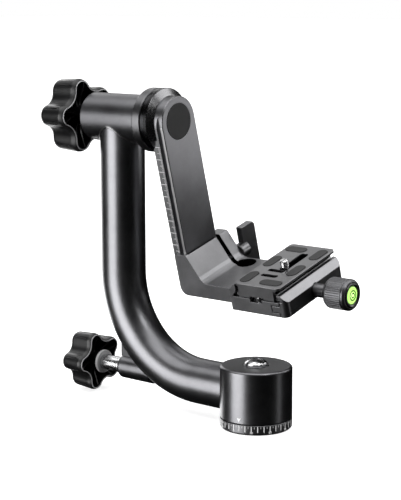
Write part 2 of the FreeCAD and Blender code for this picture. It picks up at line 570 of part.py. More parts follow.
# long slot, narrow above, wide below for the screw head
pl = pl.cut(stadium_y(X_SL, (Y_SL0 + Y_SL1) / 2, (Y_SL1 - Y_SL0) / 2, 3.3, zc(H0) - 1, zc(H1) + 1))
pl = pl.cut(stadium_y(X_SL, (Y_SL0 + Y_SL1) / 2, (Y_SL1 - Y_SL0) / 2 + 0.5, 3.8, zc(H1 - 0.7), zc(H1) + 1))
pl = pl.cut(stadium_y(X_SL, (Y_SL0 + Y_SL1) / 2, (Y_SL1 - Y_SL0) / 2 + 3.4, 6.9, zc(H0) - 1, zc(18.9)))
# pads
PADS = [("a", "y", -14.3, -24.4), ("b", "x", 8.9, -29.2), ("c", "y", -14.2, 4.9), ("d", "y", 14.6, -4.9), ("e", "x", -8.9, 29.0), ("f", "y", 14.8, 24.6)]
def pad_shape(k, ax, ay, r, z0, z1, half=9.7):
    cx_, cy_ = px(ax), YC + ay
    return stadium_y(cx_, cy_, half, r, z0, z1) if k == "y" else stadium_x(cx_, cy_, half, r, z0, z1)
for nm, k, ax, ay in PADS:
    pl = pl.cut(pad_shape(k, ax, ay, 4.5, zc(H1 - 0.8), zc(H1) + 1))
save("quick_plate", tilted(pl))
for nm, k, ax, ay in PADS:
    p = pad_shape(k, ax, ay, 4.3, zc(H1 - 0.8), zc(H1) + 0.35, 9.5)
    zt_ = zc(H1) + 0.35
    p = try_fillet(p, 0.3, lambda e: abs(e.BoundBox.ZMin - zt_) < 0.01 and abs(e.BoundBox.ZMax - zt_) < 0.01)
    save("plate_pad_" + nm, tilted(p))
# camera screw and its carrier
Y_CS = 2.2
H_CAR = 18.85
R_NECK = 2.6           # the screw is held by its relieved neck
car = cylz(6.45, zc(H_CAR - 1.3), zc(H_CAR), X_SL, Y_CS).common(box(X_SL - 6.2, X_SL + 6.2, Y_CS - 7, Y_CS + 7, zc(H0), zc(H1)))
car = car.cut(cylz(R_NECK + GAP, zc(H0), zc(H1), X_SL, Y_CS))
save("screw_carrier", tilted(car))
zs = zc(H_CAR - 1.3) - 0.05
cam = cylz(3.175, zc(H1) - 0.6, zc(H1) + 6.6, X_SL, Y_CS).fuse(cylz(R_NECK, zs - 0.5, zc(H1) - 0.5, X_SL, Y_CS))
cam = try_fillet(cam, 0.6, lambda e: is_circle(e, Z, zc(H1) + 6.6, 3.175), True)
cam = cam.fuse(cylz(5.6, zs - 2.4, zs, X_SL, Y_CS))
cam = cam.cut(box(X_SL - 0.8, X_SL + 0.8, Y_CS - 7, Y_CS + 7, zs - 3.4, zs - 1.2))
cam = cam.cut(box(X_SL - 0.55, X_SL + 0.55, Y_CS - 4, Y_CS + 4, zc(H1) + 5.4, zc(H1) + 8))
save("camera_screw", tilted(cam))

# ================================================================= STAR KNOBS
def star_wire(rmax, rmin, b, x, s=1.0, n=5, off=0.0):
    """Closed outline with n lobes in the plane x; first lobe towards -Y."""
    a = rmax - b
    c36 = math.cos(math.pi / n)
    # valley arc radius from tangency with the lobes
    d = (a * a + rmin * rmin - 2 * a * rmin * c36 - b * b) / (2 * b - 2 * rmin + 2 * a * c36)
    c = rmin + d
    b2 = (b - off)
    d2 = (d + off)
    arcs = []
    def P(r, al):
        return V(x, -s * r * math.cos(al), s * r * math.sin(al))
    for k in range(n):
        al = 2 * math.pi * k / n
        be = al + math.pi / n
        L = (a * math.cos(al), a * math.sin(al))
        # tangent point between lobe k and the valley after it
        def tang(al_, be_):
            l = (a * math.cos(al_), a * math.sin(al_))
            v = (c * math.cos(be_), c * math.sin(be_))
            q = b2 / (b2 + d2)
            return (l[0] + (v[0] - l[0]) * q, l[1] + (v[1] - l[1]) * q)
        t0 = tang(al, al - math.pi / n)
        t1 = tang(al, be)
        t2 = tang(al + 2 * math.pi / n, be)
        tip = (rmax - off) 
        val = (rmin - off)
        def W(p):
            return V(x, -s * p[0], s * p[1])
        arcs.append(Part.Arc(W(t0), P(tip, al), W(t1)).toShape())
        arcs.append(Part.Arc(W(t1), P(val, be), W(t2)).toShape())
    return Part.Wire(arcs)

def knob(x_rim, k, depth, wall, hub_r, hub_face, bore_r):
    """Hollow star knob, open towards +X, its rim in the plane x_rim."""
    rmax, rmin, b = 29.9 * k, 21.6 * k, 8.8 * k
    x0 = x_rim - depth
    secs = [(x_rim, 0.952), (x_rim - 0.5 * k, 0.966), (x_rim - 1.3 * k, 0.98), (x_rim - 2.6 * k, 0.994), (x_rim - 4.2 * k, 1.0), (x0 + 3.2, 0.957), (x0 + 1.7, 0.945), (x0 + 0.7, 0.92), (x0 + 0.15, 0.885), (x0, 0.84)]
    parts = []
    for (xa, sa), (xb, sb) in zip(secs[:-1], secs[1:]):
        parts.append(Part.makeLoft([star_wire(rmax, rmin, b, xa, sa), star_wire(rmax, rmin, b, xb, sb)], True, True))
    body_ = parts[0].fuse(parts[1:])
    # cavity
    xf = x0 + 4.2
    cav = Part.makeLoft([star_wire(rmax, rmin, b, x_rim + 1, 1.0, off=wall), star_wire(rmax, rmin, b, xf, 0.95, off=wall)], True, True)
    hub_ = cylx(hub_r, x0 + 1, hub_face)
    ribs_ = []
    for i in range(5):
        for o in (-10.5, 10.5):
            rb_ = Part.Face(Part.makePolygon([V(x0 + 2, -0.7, 2), V(x_rim - 9.5 * k, -0.7, 2), V(x_rim - 7.5 * k, -0.7, hub_r + 4 * k), V(x_rim - 1.2, -0.7, rmax - 5.5 * k),
                                              V(x_rim - 1.2, -0.7, rmax), V(x0 + 2, -0.7, rmax), V(x0 + 2, -0.7, 2)])).extrude(V(0, 1.4, 0))
            # Z is the lobe direction of the polygon; the first lobe points towards -Y
            rb_.rotate(V(0, 0, 0), X, 90 - (72 * i + o))
            ribs_.append(rb_)
    rb_all = ribs_[0].fuse(ribs_[1:])
    env_ = Part.makeLoft([star_wire(rmax, rmin, b, x_rim, 1.0, off=wall * 0.5), star_wire(rmax, rmin, b, x0 + 2, 0.945, off=wall * 0.5)], True, True)
    rb_all = rb_all.common(env_)
    body_ = body_.cut(cav).fuse([hub_, rb_all])
    # grip slots, two on each lobe
    cuts = []
    for i in range(5):
        for o in (-14.0, 14.0):
            al = math.radians(72 * i)
            # slot position on the lobe arc, its outward normal from the lobe centre
            an = al + math.radians(o * 3.3)
            lc = (rmax - b)
            rr = b * 0.965 - 1.35
            py = lc * math.cos(al) + rr * math.cos(an)
            pz = lc * math.sin(al) + rr * math.sin(an)
            g2 = Part.makeBox(depth - 9.4 * k, 1.3 * k, 4.0, V(x0 + 1.6, -0.65 * k, 0.2))
            g2.rotate(V(0, 0, 0), X, 90 - math.degrees(an))
            g2.translate(V(0, -py, pz))
            cuts.append(g2)
    body_ = body_.cut(Part.makeCompound(cuts))
    body_ = body_.cut(cylx(bore_r, x0 + 6.0, hub_face + 1))
    return body_

# tilt knob: rim 8 mm clear of the sleeve
XK1 = -168.4
tk = knob(XK1, 1.0, 26.0, 2.3, 8.0, XK1 + 1.6, 3.95)
save("tilt_knob", up(tk))
ths = revolve_x([(XK1 - 17.0 + 0.2, 0), (XK1 - 17.0 + 0.2, 3.95), (XK1 + 1.6, 3.95), (XK1 + 1.6, 9.0), (XK1 + 3.2, 9.0), (XK1 + 3.8, 8.4), (XK1 + 3.8, 3.95),
                 (-155.4, 3.95), (-154.7, 3.2), (-154.7, 0)])
save("tilt_knob_stud", up(ths))
pad_t = revolve_x([(-154.6, 0), (-154.6, 6.2), (-154.0, 6.8), (-152.1, 6.8), (-152.1, 0)])
save("tilt_brake_pad", up(pad_t))

# pan knob: smaller, hub disc and polished stud in sight
XK2 = -158.3
kp = 0.805
pk = knob(XK2, kp, 22.0, 1.9, 7.0, XK2 + 2.4, 4.95)
pk.translate(V(0, 0, Z_LOCK))
save("pan_knob", pk)
dsk = tube_x(9.3, 4.95, XK2 + 2.4, XK2 + 4.4, 0, Z_LOCK)
dsk = try_fillet(dsk, 0.35, lambda e: is_circle(e, X, XK2 + 4.4, 9.3), True)
save("pan_knob_disc", dsk)
pst = revolve_x([(XK2 - 11.8, 0), (XK2 - 11.8, 4.95), (XK2 + 4.4, 4.95), (XK2 + 4.4, 6.2), (X_ST0 - 3.2, 6.2), (X_ST0 - 2.7, 5.7), (X_ST0 - 2.7, 4.95),
                 (-104.0, 4.95), (-103.4, 4.3), (-103.4, 0)], 0, Z_LOCK)
save("pan_knob_stud", pst)
# long brake rod inside the horizontal leg, shoe shaped to the spindle groove
rod = revolve_x([(-103.3, 0), (-103.3, 4.0), (-102.7, 4.6), (-24.0, 4.6), (-24.0, 4.6), (-4.0, 4.6), (-4.0, 0)], 0, Z_LOCK)
rod = rod.cut(cylz(7.9 + 0.06, 15, 35))
save("pan_brake_rod", rod)
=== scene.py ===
import math
import bmesh
import bpy
from mathutils import Matrix, Vector


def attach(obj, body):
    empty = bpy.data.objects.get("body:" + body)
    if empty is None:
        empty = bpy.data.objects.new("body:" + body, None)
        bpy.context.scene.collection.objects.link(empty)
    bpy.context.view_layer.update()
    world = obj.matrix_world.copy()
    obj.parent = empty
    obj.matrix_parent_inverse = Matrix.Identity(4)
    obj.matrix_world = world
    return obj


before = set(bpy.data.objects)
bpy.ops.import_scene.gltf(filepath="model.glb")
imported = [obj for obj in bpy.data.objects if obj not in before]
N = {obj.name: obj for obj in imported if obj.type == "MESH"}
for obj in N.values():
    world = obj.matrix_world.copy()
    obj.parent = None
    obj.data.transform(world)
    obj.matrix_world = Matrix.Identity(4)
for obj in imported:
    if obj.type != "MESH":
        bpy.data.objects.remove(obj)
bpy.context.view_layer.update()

SC = bpy.context.scene

# ---------------------------------------------------------------- frames
PHI = math.radians(15.4)
CP, SP = math.cos(PHI), math.sin(PHI)
H_TILT = 0.2232
ARM_X, ARM_R = -132.0, 17.4          # vertical tube, mm


def T(x, y, z):
    """From the swing frame (mm) to the part frame (m)."""
    x, y, z = x / 1000.0, y / 1000.0, z / 1000.0
    return Vector((x, y * CP - z * SP, H_TILT + y * SP + z * CP))


# ---------------------------------------------------------------- node helpers
class Tree:
    """Small wrapper that builds a material's node tree."""

    def __init__(self, name):
        self.m = bpy.data.materials.new(name)
        self.m.use_nodes = True
        self.t = self.m.node_tree
        self.t.nodes.clear()
        self.out = self.n("ShaderNodeOutputMaterial")
        self.p = self.n("ShaderNodeBsdfPrincipled")
        self.link(self.p.outputs["BSDF"], self.out.inputs["Surface"])
        self.co = self.n("ShaderNodeTexCoord").outputs["Object"]

    def n(self, kind):
        return self.t.nodes.new(kind)

    def link(self, a, b):
        self.t.links.new(a, b)

    def put(self, sock, v):
        if isinstance(v, bpy.types.NodeSocket):
            self.link(v, sock)
        elif isinstance(v, (tuple, list)) and len(v) == 3 and sock.type == "RGBA":
            sock.default_value = (*v, 1.0)
        else:
            sock.default_value = v

    def math(self, op, a, b=0.0, c=None, clamp=False):
        k = self.n("ShaderNodeMath")
        k.operation = op
        k.use_clamp = clamp
        self.put(k.inputs[0], a)
        self.put(k.inputs[1], b)
        if c is not None:
            self.put(k.inputs[2], c)
        return k.outputs[0]

    def mapr(self, v, a, b, c=0.0, d=1.0, smooth=False):
        k = self.n("ShaderNodeMapRange")
        k.interpolation_type = "SMOOTHSTEP" if smooth else "LINEAR"
        k.clamp = True
        self.put(k.inputs["Value"], v)
        k.inputs["From Min"].default_value = a
        k.inputs["From Max"].default_value = b
        k.inputs["To Min"].default_value = c
        k.inputs["To Max"].default_value = d
        return k.outputs["Result"]

    def scaled(self, s):
        k = self.n("ShaderNodeMapping")
        self.link(self.co, k.inputs["Vector"])
        k.inputs["Scale"].default_value = s if isinstance(s, (tuple, list)) else (s, s, s)
        return k.outputs["Vector"]

    def noise(self, scale, detail=3.0, rough=0.55, distort=0.0):
        k = self.n("ShaderNodeTexNoise")
        self.link(self.scaled(scale), k.inputs["Vector"])
        k.inputs["Scale"].default_value = 1.0
        k.inputs["Detail"].default_value = detail
        k.inputs["Roughness"].default_value = rough
        k.inputs["Distortion"].default_value = distort
        return k.outputs["Fac"]

    def voronoi(self, scale):
        k = self.n("ShaderNodeTexVoronoi")
        self.link(self.scaled(scale), k.inputs["Vector"])
        k.inputs["Scale"].default_value = 1.0
        return k.outputs["Distance"]

    def xyz(self):
        k = self.n("ShaderNodeSeparateXYZ")
        self.link(self.co, k.inputs[0])
        return k.outputs

    def mix(self, f, a, b):
        k = self.n("ShaderNodeMix")
        k.data_type = "RGBA"
        self.put(k.inputs["Factor"], f)
        self.put(k.inputs[6], a)
        self.put(k.inputs[7], b)
        return k.outputs[2]

    def bump(self, height, strength, dist, prev=None):
        k = self.n("ShaderNodeBump")
        k.inputs["Strength"].default_value = strength
        k.inputs["Distance"].default_value = dist
        self.link(height, k.inputs["Height"])
        if prev is not None:
            self.link(prev, k.inputs["Normal"])
        return k.outputs["Normal"]

    def round_normal(self, radius):
        """Normal of a slightly rounded edge, so that sharp corners catch the light."""
        b = self.n("ShaderNodeBevel")
        b.samples = 6
        b.inputs["Radius"].default_value = radius
        return b.outputs["Normal"]

    def edge(self, radius, lo=0.86, hi=0.995):
        """1 at sharp edges, 0 on open faces."""
        b = self.n("ShaderNodeBevel")
        b.samples = 6
        b.inputs["Radius"].default_value = radius
        g = self.n("ShaderNodeNewGeometry")
        d = self.n("ShaderNodeVectorMath")
        d.operation = "DOT_PRODUCT"
        self.link(b.outputs["Normal"], d.inputs[0])
        self.link(g.outputs["Normal"], d.inputs[1])
        return self.mapr(d.outputs["Value"], lo, hi, 1.0, 0.0, True)


def scale_rgb(c, k):
    return tuple(min(1.0, v * k) for v in c)


def anodised(name, col, rough, metal=1.0, grain=1.0, edge=0.35, edge_col=(0.36, 0.36, 0.37), r_edge=0.0004, brushed=None, var=0.16, soft=0.00035):
    """Bead blasted and anodised aluminium: fine sparkle grain, cloudy tone, and an edge colour mix: brighter edges for
    wear by default; some callers make it a painted edge highlight, others a painted dark edge shade.
    """
    t = Tree(name)
    cloud = t.noise(38.0, 4.0, 0.6)
    fine = t.noise(4200.0, 2.0, 0.6)
    mid = t.noise(700.0, 3.0, 0.5)
    c = t.mix(t.mapr(cloud, 0.3, 0.7), scale_rgb(col, 1.0 - var), scale_rgb(col, 1.0 + var))
    c = t.mix(t.mapr(fine, 0.35, 0.75, 0.0, 0.35), c, scale_rgb(col, 1.45))
    # edge colour mix: wear by default; some callers make it a painted edge highlight, others a painted dark edge shade
    e = t.math("MULTIPLY", t.edge(r_edge), t.mapr(mid, 0.3, 0.65, 0.35, 1.0))
    c = t.mix(t.math("MULTIPLY", e, edge), c, edge_col)
    t.put(t.p.inputs["Base Color"], c)
    t.p.inputs["Metallic"].default_value = metal
    r = t.math("ADD", t.mapr(cloud, 0.3, 0.7, rough - 0.025, rough + 0.025), t.mapr(mid, 0.3, 0.7, -0.02, 0.02))
    t.put(t.p.inputs["Roughness"], r)
    nb = t.bump(fine, 0.10 * grain, 0.00003, t.round_normal(soft))
    nb = t.bump(mid, 0.05 * grain, 0.00006, nb)
    if brushed is not None:
        s = [2600.0, 2600.0, 2600.0]
        s[brushed] = 45.0
        nb = t.bump(t.noise(tuple(s), 2.0, 0.6), 0.14, 0.00003, nb)
    t.put(t.p.inputs["Normal"], nb)
    return t


def moulded(name, col, rough, coat=0.0, grain=0.5, edge=0.2, spec=0.5, coat_rough=0.12):
    """Injection moulded plastic: slight orange peel, faint wear on crests."""
    t = Tree(name)
    peel = t.noise(520.0, 2.0, 0.5)
    cloud = t.noise(60.0, 3.0, 0.6)
    c = t.mix(t.mapr(cloud, 0.3, 0.7), scale_rgb(col, 0.85), scale_rgb(col, 1.2))
    e = t.math("MULTIPLY", t.edge(0.0005), edge)
    c = t.mix(e, c, (0.22, 0.22, 0.225))
    t.put(t.p.inputs["Base Color"], c)
    t.put(t.p.inputs["Roughness"], t.mapr(cloud, 0.3, 0.7, rough - 0.03, rough + 0.04))
    t.p.inputs["Coat Weight"].default_value = coat
    t.p.inputs["Coat Roughness"].default_value = coat_rough
    t.p.inputs["Specular IOR Level"].default_value = spec
    t.put(t.p.inputs["Normal"], t.bump(peel, 0.10 * grain, 0.00008, t.round_normal(0.0003)))
    return t


def rubber(name, col, rough=0.75):
    t = Tree(name)
    cell = t.voronoi(2100.0)
    cloud = t.noise(90.0, 3.0, 0.6)
    c = t.mix(t.mapr(cloud, 0.3, 0.7), scale_rgb(col, 0.8), scale_rgb(col, 1.25))
    # sharp edges mixed to near-black: painted dark edge shade round the pads
    c = t.mix(t.edge(0.0009), c, (0.001, 0.001, 0.001))
    t.put(t.p.inputs["Base Color"], c)
    t.put(t.p.inputs["Roughness"], t.mapr(cloud, 0.3, 0.7, rough - 0.05, rough + 0.05))
    t.put(t.p.inputs["Normal"], t.bump(cell, 0.30, 0.00006))
    return t


def bare_metal(name, col, rough, turned=None, wear=0.25):
    """Polished or turned steel, with fine lay lines and stains."""
    t = Tree(name)
    cloud = t.noise(120.0, 4.0, 0.65)
    c = t.mix(t.mapr(cloud, 0.35, 0.7), scale_rgb(col, 1.0 - 0.25 * wear), scale_rgb(col, 1.05))
    t.put(t.p.inputs["Base Color"], c)
    t.p.inputs["Metallic"].default_value = 1.0
    t.put(t.p.inputs["Roughness"], t.mapr(cloud, 0.3, 0.75, max(rough - 0.03, 0.03), rough + 0.05))
    if turned is not None:
        s = [160.0, 160.0, 160.0]
        s[turned] = 5200.0
        t.put(t.p.inputs["Normal"], t.bump(t.noise(tuple(s), 2.0, 0.5), 0.03, 0.00002))
    else:
        t.put(t.p.inputs["Normal"], t.bump(t.noise(240.0, 2.0, 0.4), 0.003, 0.00001))
    return t


def painted(name, col, rough=0.5):
    t = Tree(name)
    wear = t.noise(1500.0, 3.0, 0.7)
    t.put(t.p.inputs["Base Color"], t.mix(t.mapr(wear, 0.3, 0.62), scale_rgb(col, 0.72), col))
    t.put(t.p.inputs["Roughness"], t.mapr(wear, 0.3, 0.7, rough - 0.08, rough + 0.08))
    # painted light: the marks glow with their own colour (emission 0.45), bright whatever light falls on them
    t.p.inputs["Emission Color"].default_value = (*col, 1.0)
    t.p.inputs["Emission Strength"].default_value = 0.45
    t.put(t.p.inputs["Normal"], t.bump(wear, 0.08, 0.00002))
    return t


# ---------------------------------------------------------------- materials
ARM = anodised("arm_black", (0.150, 0.150, 0.157), 0.325, edge=0.35)
SLEEVE = anodised("sleeve_black", (0.140, 0.140, 0.147), 0.335, edge=0.4)
COLLAR = anodised("collar_grey", (0.135, 0.135, 0.14), 0.31, edge=0.45, soft=0.0006)
DRAG = anodised("drag_black", (0.030, 0.030, 0.032), 0.22, edge=0.10)
HOUS = anodised("housing_black", (0.150, 0.150, 0.157), 0.315, edge=0.4)
# clamp's sharp edges mixed to near-black (0.03): painted dark edge shade
CLAMP = anodised("clamp_charcoal", (0.185, 0.185, 0.19), 0.37, edge=0.8, edge_col=(0.03, 0.03, 0.032), r_edge=0.0007, soft=0.0006)
JAW = anodised("jaw_charcoal", (0.20, 0.20, 0.206), 0.34, edge=0.12, soft=0.0007)
GUSSET = anodised("gusset_grey", (0.062, 0.062, 0.064), 0.36, edge=0.1)
WING = anodised("wing_grey", (0.15, 0.15, 0.155), 0.32, edge=0.4)
GRIP = anodised("grip_grey", (0.13, 0.13, 0.135), 0.36, edge=0.5)


def star_mat(name, lip_x):
    """Black plastic of the star knobs: satin, duller towards the rolled lip."""
    t = moulded(name, (0.005, 0.005, 0.0055), 0.33, coat=0.3, spec=0.5, coat_rough=0.22, edge=0.1)
    x, y, z = t.xyz()
    near = t.mapr(x, lip_x - 0.0065, lip_x - 0.0035, 0.0, 1.0, True)
    t.put(t.p.inputs["Coat Weight"], t.math("MULTIPLY", t.math("SUBTRACT", 1.0, near), 0.3))
    old = t.p.inputs["Roughness"].links[0].from_socket
    t.put(t.p.inputs["Roughness"], t.math("ADD", old, t.math("MULTIPLY", near, 0.14)))
    return t


def far_x(name):
    return max(v.co.x for v in N[name].data.vertices)


STAR_T = star_mat("star_plastic_tilt", far_x("tilt_knob"))
STAR_P = star_mat("star_plastic_pan", far_x("pan_knob"))
CAPM = moulded("cap_plastic", (0.028, 0.028, 0.029), 0.62, grain=1.4, edge=0.05)
PAD = rubber("pad_rubber", (0.016, 0.016, 0.0165), 0.68)
OXIDE = anodised("black_oxide_steel", (0.016, 0.016, 0.017), 0.42, edge=0.1)
CHROME = bare_metal("chrome_polished", (0.62, 0.62, 0.63), 0.22, wear=0.1)
STEELX = bare_metal("steel_turned_x", (0.58, 0.58, 0.585), 0.22, turned=0)
STEELZ = bare_metal("steel_turned_z", (0.58, 0.58, 0.585), 0.24, turned=2)
STUD = bare_metal("screw_steel", (0.66, 0.66, 0.66), 0.14, turned=2)
# near-white edge mix (0.95) on the hub disc's sharp edges: painted edge highlight
DISC = anodised("hub_disc", (0.62, 0.62, 0.63), 0.42, metal=0.15, edge=0.8, edge_col=(0.95, 0.95, 0.95), r_edge=0.0006)
BRONZE = bare_metal("bush_bronze", (0.60, 0.40, 0.17), 0.30, turned=2)
GLIDE = moulded("glide_plastic", (0.008, 0.008, 0.008), 0.55, edge=0.0)
WHITE = painted("mark_white", (0.80, 0.80, 0.80))
BLACKP = moulded("level_black", (0.012, 0.012, 0.012), 0.28, coat=0.3)


def base_plate_mat():
    """Anodised ring with white paint in the engraved graduations."""
    t = anodised("base_graduated", (0.115, 0.115, 0.12), 0.33, edge=0.3)
    x, y, z = t.xyz()
    r = t.math("SQRT", t.math("ADD", t.math("MULTIPLY", x, x), t.math("MULTIPLY", y, y)))
    deep = t.mapr(r, 0.02679, 0.02688, 1.0, 0.0)
    outer = t.math("GREATER_THAN", r, 0.0262)
    zone = t.math("MULTIPLY", t.math("GREATER_THAN", z, 0.0018), t.math("LESS_THAN", z, 0.0068))
    f = t.math("MULTIPLY", t.math("MULTIPLY", deep, outer), zone)
    old = t.p.inputs["Base Color"].links[0].from_socket
    t.put(t.p.inputs["Base Color"], t.mix(f, old, (0.78, 0.78, 0.78)))
    t.put(t.p.inputs["Metallic"], t.math("SUBTRACT", 0.9, t.math("MULTIPLY", f, 0.9)))
    return t


BASE = base_plate_mat()


def ring_mat():
    """Flange of the swing arm: satin cone, darker cylinder behind it."""
    t = anodised("flange_black", (0.19, 0.19, 0.195), 0.27, edge=0.2, grain=0.0)
    x, y, z = t.xyz()
    old = t.p.inputs["Base Color"].links[0].from_socket
    t.put(t.p.inputs["Base Color"], t.mix(t.mapr(x, -0.0861, -0.0859), (0.022, 0.022, 0.023), old))
    return t


RINGS = ring_mat()


def swing_xyz(t):
    """Coordinates of the shaded point in the swing frame, in metres."""
    x, y, z = t.xyz()
    dz = t.math("SUBTRACT", z, H_TILT)
    yy = t.math("ADD", t.math("MULTIPLY", y, CP), t.math("MULTIPLY", dz, SP))
    zz = t.math("SUBTRACT", t.math("MULTIPLY", dz, CP), t.math("MULTIPLY", y, SP))
    return x, yy, zz


def bracket_mat():
    """Bracket: painted shade, near-black, inside the saw cut and the round hole at its end; its sharp edges are mixed
    to near-black as painted dark edge shade.
    """
    # sharp edges mixed to near-black (0.03): painted dark edge shade
    t = anodised("bracket_charcoal", (0.19, 0.19, 0.196), 0.36, edge=0.9, edge_col=(0.03, 0.03, 0.032), r_edge=0.0008, soft=0.0006)
    x, yy, zz = swing_xyz(t)
    cut = t.math("MULTIPLY", t.math("GREATER_THAN", yy, 0.01655), t.math("LESS_THAN", yy, 0.02075))
    cut = t.math("MULTIPLY", cut, t.math("LESS_THAN", x, -0.0511))
    du = t.math("ADD", x, 0.0511)
    dv = t.math("SUBTRACT", yy, 0.0218)
    rr = t.math("SQRT", t.math("ADD", t.math("MULTIPLY", du, du), t.math("MULTIPLY", dv, dv)))
    # near-black mask inside the saw cut and the round hole: painted shade
    f = t.math("MAXIMUM", cut, t.math("LESS_THAN", rr, 0.00776))
    old = t.p.inputs["Base Color"].links[0].from_socket
    t.put(t.p.inputs["Base Color"], t.mix(f, old, (0.010, 0.010, 0.0105)))
    return t


BRACKET = bracket_mat()


def plate_mat():
    """Quick plate: painted shade, near-black, inside its slots and counterbores."""
    t = anodised("plate_dark", (0.185, 0.185, 0.19), 0.35, edge=0.35, edge_col=(0.42, 0.42, 0.43), soft=0.0006)
    x, yy, zz = swing_xyz(t)
    low = t.mapr(zz, PL_TOP - 0.0006, PL_TOP - 0.0003, 1.0, 0.0)
    inside = t.math("MULTIPLY", t.math("GREATER_THAN", yy, PL_Y0 + 0.003), t.math("LESS_THAN", yy, PL_Y1 - 0.003))
    inside = t.math("MULTIPLY", inside, t.math("MULTIPLY", t.math("GREATER_THAN", x, PL_X0 + 0.004), t.math("LESS_THAN", x, PL_X1 - 0.004)))
    # near-black below the top, inside the slots and counterbores: painted shade
    f = t.math("MULTIPLY", low, inside)
    old = t.p.inputs["Base Color"].links[0].from_socket
    t.put(t.p.inputs["Base Color"], t.mix(f, old, (0.012, 0.012, 0.0125)))
    return t


def swing_box(name):
    """Extents of a node in the swing frame, in metres."""
    pts = [(v.co.x, v.co.y * CP + (v.co.z - H_TILT) * SP, (v.co.z - H_TILT) * CP - v.co.y * SP) for v in N[name].data.vertices]
    return [min(p[i] for p in pts) for i in range(3)], [max(p[i] for p in pts) for i in range(3)]


(PL_X0, PL_Y0, PL_Z0), (PL_X1, PL_Y1, PL_TOP) = swing_box("quick_plate")
PLATE = plate_mat()


def knurl_mat():
    """Grey anodised grip with a fine crossed knurl, on the knob's own axis."""
    t = anodised("grip_knurled", (0.12, 0.12, 0.125), 0.38, edge=0.3)
    x, y, z = t.xyz()
    c = T(36, 5.0, -128.7)
    dy = t.math("SUBTRACT", y, c.y)
    dz = t.math("SUBTRACT", z, c.z)
    ang = t.math("ARCTAN2", dz, dy)
    u = t.math("MULTIPLY", ang, 40.0)
    v = t.math("MULTIPLY", x, 2400.0)
    a = t.math("SINE", t.math("ADD", u, v))
    b = t.math("SINE", t.math("SUBTRACT", u, v))
    h = t.math("MULTIPLY", a, b)
    zone = t.math("MULTIPLY", t.math("GREATER_THAN", x, 0.0415), t.math("LESS_THAN", x, 0.0542))
    h = t.math("MULTIPLY", h, zone)
    old = t.p.inputs["Normal"].links[0].from_socket
    t.put(t.p.inputs["Normal"], t.bump(h, 0.30, 0.00012, old))
    return t


KNURL = knurl_mat()


def scale_face_mat():
    """Rail: the near side of the back slab is a little lighter, behind its scale; the front slab's side edge is painted
    light grey as a painted highlight, and its sharp edges carry a painted edge highlight.
    """
    # edge mix towards near-white (0.75) on the rail's sharp edges: painted edge highlight
    t = anodised("rail_scaled", (0.155, 0.155, 0.162), 0.34, edge=0.6, edge_col=(0.75, 0.75, 0.76), grain=0.8, r_edge=0.0006, soft=0.0007)
    x, yy, zz = swing_xyz(t)
    side = t.math("LESS_THAN", yy, -0.01895)
    back = t.math("LESS_THAN", x, -0.08072)
    f = t.math("MULTIPLY", side, back)
    n1 = t.noise(1800.0, 3.0, 0.7)
    grey = t.mix(t.mapr(n1, 0.3, 0.7), (0.16, 0.16, 0.165), (0.23, 0.23, 0.235))
    old = t.p.inputs["Base Color"].links[0].from_socket
    # front slab's side edge painted light grey (0.46): painted highlight
    front_highlight = t.math("MULTIPLY", side, t.math("GREATER_THAN", x, -0.07695))
    c = t.mix(f, old, grey)
    t.put(t.p.inputs["Base Color"], t.mix(front_highlight, c, (0.46, 0.46, 0.465)))
    return t


RAILS = scale_face_mat()


def liquid_mat():
    t = Tree("level_liquid")
    cloud = t.noise(300.0, 2.0, 0.5)
    t.put(t.p.inputs["Base Color"], t.mix(t.mapr(cloud, 0.3, 0.7), (0.50, 0.72, 0.24), (0.60, 0.80, 0.32)))
    t.p.inputs["Roughness"].default_value = 0.12
    # the liquid glows (emission 0.75): painted light
    t.p.inputs["Emission Color"].default_value = (0.56, 0.80, 0.34, 1.0)
    t.p.inputs["Emission Strength"].default_value = 0.75
    t.put(t.p.inputs["Normal"], t.bump(cloud, 0.02, 0.0001))
    return t


def bubble_mat():
    t = Tree("level_bubble_air")
    cloud = t.noise(300.0, 2.0, 0.5)
    t.put(t.p.inputs["Base Color"], t.mix(t.mapr(cloud, 0.3, 0.7), (0.66, 0.84, 0.44), (0.74, 0.90, 0.54)))
    t.p.inputs["Roughness"].default_value = 0.10
    # the bubble glows (emission 0.9): painted light
    t.p.inputs["Emission Color"].default_value = (0.70, 0.90, 0.52, 1.0)
    t.p.inputs["Emission Strength"].default_value = 0.9
    t.put(t.p.inputs["Normal"], t.bump(cloud, 0.02, 0.0001))
    return t


def lens_mat():
    t = Tree("level_lens")
    cloud = t.noise(240.0, 2.0, 0.5)
    t.p.inputs["Base Color"].default_value = (0.93, 0.98, 0.88, 1.0)
    t.p.inputs["Transmission Weight"].default_value = 1.0
    t.p.inputs["IOR"].default_value = 1.25
    t.put(t.p.inputs["Roughness"], t.mapr(cloud, 0.3, 0.7, 0.02, 0.06))
    t.put(t.p.inputs["Normal"], t.bump(cloud, 0.02, 0.0001))
    return t


LIQUID = liquid_mat()
LENS = lens_mat()

